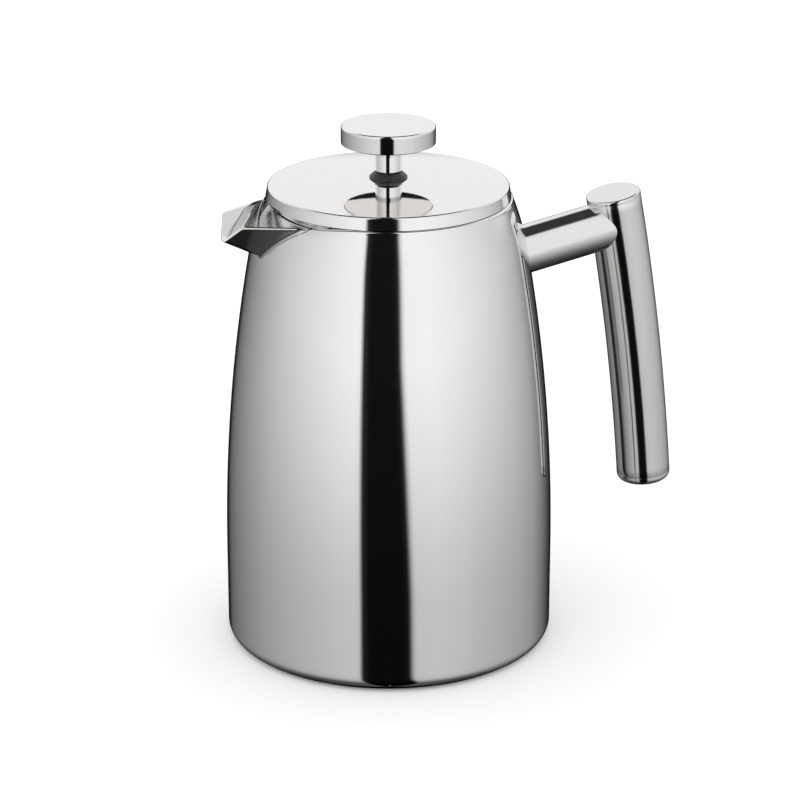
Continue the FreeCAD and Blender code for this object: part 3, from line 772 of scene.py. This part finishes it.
def gripBar(sizes):
    lean, sweep = math.radians(sizes["topLean"]), sizes["length"] / sizes["bow"]
    centre = (sizes["topAcross"] - sizes["bow"] * math.cos(lean), 0,
              sizes["topUp"] - sizes["bow"] * math.sin(lean))
    mesh = bmesh.new()
    ring = bmesh.ops.create_circle(mesh, cap_ends=False, segments=96, radius=sizes["radius"])
    leaned(mesh, sizes["topAcross"], sizes["topUp"], sizes["topLean"])
    bmesh.ops.spin(mesh, geom=ring["verts"] + mesh.edges[:], cent=centre, axis=(0, 1, 0),
                   dvec=(0, 0, 0), angle=sweep, steps=36, use_duplicate=False)
    tidy(mesh)
    facing(mesh, (sizes["topAcross"] + 2 * sizes["radius"], 0, sizes["topUp"]), (1, 0, 0))
    thickened(mesh, sizes["wall"])
    softened(mesh, sizes["seam"], segments=2, sharper=60)
    piece("gripTube", mesh, "vessel", "polished_steel", ["handle_grip"], finish=gripSteel)

    thick, rounding, seam = sizes["cap"], sizes["capRound"], sizes["seam"]
    line = Outline(0, 0).to(sizes["radius"] - seam, 0, hold=0.4).to(sizes["radius"], seam)
    line.to(sizes["radius"], thick - rounding)
    line.arc(sizes["radius"] - rounding, thick - rounding, 90, 8).to(0, thick, hold=0.4)
    cap = leaned(line.turned(96), sizes["topAcross"], sizes["topUp"], sizes["topLean"])
    piece("gripTop", cap, "vessel", "polished_steel", ["grip_top_cap"], sharp=30, finish=gripSteel)

    footLean = lean - sweep
    thick, rounding = sizes["foot"], sizes["footRound"]
    line = Outline(0, 0).to(sizes["radius"] - seam, 0, hold=0.4).to(sizes["radius"], -seam)
    line.to(sizes["radius"], rounding - thick)
    line.arc(sizes["radius"] - rounding, rounding - thick, -90, 12).to(0, -thick, hold=0.4)
    foot = leaned(line.turned(96), centre[0] + sizes["bow"] * math.cos(footLean),
                  centre[2] + sizes["bow"] * math.sin(footLean), math.degrees(footLean))
    piece("gripFoot", foot, "vessel", "polished_steel", ["grip_foot_cap"], sharp=30,
          finish=gripSteel)


def strutTube(sizes):
    line = Outline(sizes["radius"], 0).to(sizes["radius"], sizes["reach"], hold=1.0)
    mesh = facing(line.turned(96), (sizes["radius"], 0, sizes["reach"] / 2), (1, 0, 0))
    thickened(mesh, sizes["wall"])
    leaned(mesh, sizes["start"], sizes["height"], sizes["lean"] - 90)
    return piece("strutTube", mesh, "vessel", "polished_steel", ["handle_strut"],
                 finish=strutSteel)


gripBar(grip)
strutTube(strut)
print("handle ready")

# lid
lid = {
    "seat": 167.2, "radius": 43.9, "band": 4.7, "draft": 0.6, "round": 1.0, "roundTurn": 84.0,
    "dome": 2.2, "domeStart": 0.6, "crease": 0.2, "creaseUp": 0.03,
    "domeShare": 0.985, "underShare": 0.97,      # of the swing, the rest is a straight step
    "sheet": 0.8, "bush": 4.5, "edge": 0.25,
    "linerRadius": 40.4, "linerFloor": 160.0, "linerRound": 2.0, "linerSheet": 0.7,
    "linerFlange": 42.8,
}


def lidCover(sizes):
    seat, radius, draft, rounding = (sizes[key] for key in ("seat", "radius", "draft", "round"))
    rimUp, edge = seat + sizes["band"], radius - draft - rounding
    dome = (edge ** 2 + sizes["dome"] ** 2) / (2 * sizes["dome"])
    centre = rimUp + sizes["dome"] - dome
    sheet, small = sizes["sheet"], sizes["edge"]
    swing = math.degrees(math.asin(edge / dome) - math.asin(sizes["bush"] / dome))
    line = Outline(radius - sheet, seat).to(radius - small, seat).to(radius, seat + small)
    line.to(radius - draft, rimUp - rounding, hold=0.4)
    line.arc(edge, rimUp - rounding, sizes["roundTurn"], 10)
    line.to(edge - sizes["crease"], rimUp + sizes["creaseUp"])
    start = edge - sizes["domeStart"]
    line.to(start, centre + math.sqrt(dome ** 2 - start ** 2))
    line.arc(0, centre, swing * sizes["domeShare"], 30)
    line.to(sizes["bush"], centre + math.sqrt(dome ** 2 - sizes["bush"] ** 2))
    line.to(sizes["bush"], line.tip.co.z - sheet)
    line.arc(0, centre, -swing * sizes["underShare"], 24)
    line.to(radius - draft - sheet, rimUp - rounding)
    line.to(radius - sheet, seat)
    return piece("lidTop", line.turned(256), "lid", "polished_steel", ["lid_cover"], sharp=30)


def lidLiner(sizes):
    out, floor, rounding = (sizes[key] for key in ("linerRadius", "linerFloor", "linerRound"))
    sheet, seat, flange = sizes["linerSheet"], sizes["seat"], sizes["linerFlange"]
    line = Outline(sizes["bush"], floor).to(out - rounding, floor, hold=0.5)
    line.arc(out - rounding, floor + rounding, 90, 8).to(out, seat, hold=0.5)
    line.to(flange, seat).to(flange, seat + sheet).to(out - sheet, seat + sheet)
    line.to(out - sheet, floor + rounding)
    line.arc(out - rounding, floor + rounding, -90, 8).to(sizes["bush"], floor + sheet)
    line.to(sizes["bush"], floor)
    return piece("lidLining", line.turned(192), "lid", "satin_steel", ["lid_liner"], sharp=40)


lidCover(lid)
lidLiner(lid)

bush = {"tail": 156.4, "bore": 2.58, "radius": 4.5, "seat": 174.1, "flange": 6.8, "top": 176.2,
        "edge": 0.4, "chamfer": 0.4, "crown": 5.1, "crownSlope": 0.15, "crownDrop": 0.2,
        "nutFlats": 14.0, "nutLow": 157.0, "nutHigh": 160.0}


def rodBush(sizes):
    bore, tail, radius, top = (sizes[key] for key in ("bore", "tail", "radius", "top"))
    chamfer, slope, crown = sizes["chamfer"], sizes["crownSlope"], sizes["crown"]
    line = Outline(bore, tail).to(radius - chamfer, tail)
    line.to(radius, tail + chamfer).to(radius, sizes["seat"])
    line.to(sizes["flange"], sizes["seat"]).to(sizes["flange"], sizes["seat"] + sizes["edge"])
    line.to(crown + slope, top - sizes["crownDrop"], hold=0.2).to(crown - slope, top)
    line.to(bore + chamfer, top, hold=0.3).to(bore, top - chamfer).to(bore, tail)
    return piece("rodGuide", line.turned(96), "lid", "bush_plastic", ["rod_bush"], sharp=35)


nut = {"land": 0.97, "slope": 30.0}      # flat end's share of the flats, degrees of its edge


def hexBlock(flats, bore, low, high):
    # a turned ring with sloping ends, cut flat on six sides
    corner, land = flats / math.sqrt(3), flats / 2 * nut["land"]
    drop = (corner - land) * math.tan(math.radians(nut["slope"]))
    line = Outline(bore, low).to(land, low, hold=0.3).to(corner, low + drop)
    line.to(corner, high - drop).to(land, high).to(bore, high, hold=0.3).to(bore, low)
    mesh = line.turned(96)
    for i in range(6):
        turn = math.radians(60 * i + 30)
        way = Vector((math.cos(turn), math.sin(turn), 0))
        cut = bmesh.ops.bisect_plane(mesh, geom=mesh.verts[:] + mesh.edges[:] + mesh.faces[:],
                                     dist=0.0005, plane_co=way * flats / 2, plane_no=way,
                                     clear_outer=True)
        edges = [item for item in cut["geom_cut"] if isinstance(item, bmesh.types.BMEdge)]
        bmesh.ops.contextual_create(mesh, geom=edges)
    bmesh.ops.recalc_face_normals(mesh, faces=mesh.faces)
    return mesh


def bushNut(sizes):
    mesh = hexBlock(sizes["nutFlats"], sizes["radius"], sizes["nutLow"], sizes["nutHigh"])
    return piece("guideNut", mesh, "lid", "bush_plastic", ["bush_nut"], sharp=25)


rodBush(bush)
bushNut(bush)
print("lid ready")

# plunger
knob = {"neck": 4.9, "neckLow": 176.7, "neckHigh": 186.7, "radius": 16.9, "top": 193.4,
        "round": 0.9, "sheet": 0.8, "spigot": 3.5, "spigotHigh": 189.9, "edge": 0.3,
        "bore": 2.5}


def knobPieces(sizes):
    low, edge = sizes["neckHigh"], sizes["edge"]
    radius, rounding, sheet = sizes["radius"], sizes["round"], sizes["sheet"]
    line = Outline(radius - sheet, low).to(radius - edge, low).to(radius, low + edge)
    line.to(radius, sizes["top"] - rounding, hold=0.4)
    line.arc(radius - rounding, sizes["top"] - rounding, 90, 10)
    line.to(0, sizes["top"], hold=0.6)
    line.to(0, sizes["top"] - sheet).to(radius - sheet, sizes["top"] - sheet)
    line.to(radius - sheet, low)
    piece("knobTop", line.turned(160), "rod", "polished_steel", ["knob_cap"], sharp=30)

    line = Outline(sizes["spigot"], low).to(radius - sheet, low, hold=0.4)
    line.to(radius - sheet, low + sheet).to(sizes["spigot"], low + sheet).to(sizes["spigot"], low)
    piece("knobFloor", line.turned(128), "rod", "polished_steel", ["knob_plate"], sharp=30)

    bore = sizes["bore"]
    line = Outline(bore, sizes["neckLow"]).to(sizes["neck"] - edge, sizes["neckLow"])
    line.to(sizes["neck"], sizes["neckLow"] + edge).to(sizes["neck"], low, hold=0.4)
    line.to(sizes["spigot"], low).to(sizes["spigot"], sizes["spigotHigh"])
    line.to(0, sizes["spigotHigh"]).to(0, low).to(bore, low).to(bore, sizes["neckLow"])
    piece("knobStem", line.turned(96), "rod", "polished_steel", ["knob_neck"], sharp=30)


rod = {"radius": 2.5, "low": 11.7, "high": 186.7, "chamfer": 0.5}


def plungerRod(sizes):
    line = Outline(0, sizes["low"]).to(sizes["radius"] - sizes["chamfer"], sizes["low"])
    line.to(sizes["radius"], sizes["low"] + sizes["chamfer"])
    line.to(sizes["radius"], sizes["high"], hold=1.0).to(0, sizes["high"])
    return piece("rodBar", line.turned(64), "rod", "rod_steel", ["plunger_rod"], sharp=30)


knobPieces(knob)
plungerRod(rod)
print("plunger ready")

# filter
collar = {"flats": 11.0, "bore": 2.5, "low": 15.6, "high": 19.6}
boss = {"nose": 10.3, "noseRadius": 5.0, "flange": 7.0, "flangeLow": 12.1, "plateLow": 13.5,
        "radius": 4.0, "top": 15.5, "bore": 2.58, "boreLow": 11.3, "edge": 0.2}
screen = {"low": 14.32, "sheet": 0.36, "radius": 40.7, "top": 17.5, "bore": 4.0, "bend": 0.9}
spring = {"circle": 38.6, "radius": 1.6, "up": 16.4, "wire": 0.34, "turns": 220, "steps": 12,
          "sides": 4}


def rodCollar(sizes):
    mesh = hexBlock(sizes["flats"], sizes["bore"], sizes["low"], sizes["high"])
    return piece("collarNut", mesh, "rod", "rod_steel", ["rod_collar"], sharp=25)


def bossTurned(sizes):
    edge, flange, low = sizes["edge"], sizes["flange"], sizes["plateLow"]
    line = Outline(0, sizes["nose"]).to(sizes["noseRadius"] - edge, sizes["nose"], hold=0.3)
    line.to(sizes["noseRadius"], sizes["nose"] + edge).to(flange, sizes["flangeLow"], hold=0.2)
    line.to(flange, low).to(sizes["radius"], low).to(sizes["radius"], sizes["top"] - edge)
    line.to(sizes["radius"] - edge, sizes["top"]).to(sizes["bore"], sizes["top"])
    line.to(sizes["bore"], sizes["boreLow"]).to(0, sizes["boreLow"])
    return piece("bossTurned", line.turned(96), "filter", "filter_steel", ["cross_boss"], sharp=30)


def screenDish(sizes):
    low, sheet, radius, bend = (sizes[key] for key in ("low", "sheet", "radius", "bend"))
    line = Outline(sizes["bore"], low).to(radius - bend, low, hold=1.0)
    line.arc(radius - bend, low + bend, 90, 6).to(radius, sizes["top"])
    line.to(radius - sheet, sizes["top"]).to(radius - sheet, low + bend)
    line.arc(radius - bend, low + bend, -90, 6).to(sizes["bore"], low + sheet, hold=1.0)
    line.to(sizes["bore"], low)
    return piece("screenDish", line.turned(160), "filter", "woven_mesh", ["mesh_screen"], sharp=40)


def edgeSpring(sizes):
    # one turn of wire, bent to the circle and repeated all the way round
    circle, up, steps = sizes["circle"], sizes["up"], sizes["steps"]
    step = 2 * math.pi / sizes["turns"]
    mesh = bmesh.new()
    ring = bmesh.ops.create_circle(mesh, cap_ends=False, segments=sizes["sides"],
                                   radius=sizes["wire"])
    bmesh.ops.rotate(mesh, verts=mesh.verts, cent=(0, 0, 0),
                     matrix=Matrix.Rotation(math.pi / sizes["sides"], 3, "Z"))
    bmesh.ops.translate(mesh, verts=mesh.verts,
                        vec=(circle + sizes["radius"] - sizes["wire"], 0, up))
    bmesh.ops.spin(mesh, geom=ring["verts"] + mesh.edges[:], cent=(circle, 0, up),
                   axis=(0, 1, 0), dvec=(0, circle * step / steps, 0), angle=2 * math.pi,
                   steps=steps, use_duplicate=False)
    for vert in mesh.verts:
        reach, along = vert.co.x, vert.co.y / circle
        vert.co.x, vert.co.y = reach * math.cos(along), reach * math.sin(along)
    bmesh.ops.spin(mesh, geom=mesh.verts[:] + mesh.edges[:] + mesh.faces[:], cent=(0, 0, 0),
                   axis=(0, 0, 1), dvec=(0, 0, 0), angle=2 * math.pi - step,
                   steps=sizes["turns"] - 1, use_duplicate=True)
    tidy(mesh)
    return piece("springCoil", mesh, "filter", "spring_steel", ["edge_spring"], sharp=80)


rodCollar(collar)
bossTurned(boss)
screenDish(screen)
edgeSpring(spring)
print("filter ready")

for name, slot in (("cross_plate", "filter_steel"), ("spreader_plate", "filter_steel")):
    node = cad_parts[name]
    node.data.materials.clear()
    node.data.materials.append(finishes[slot])
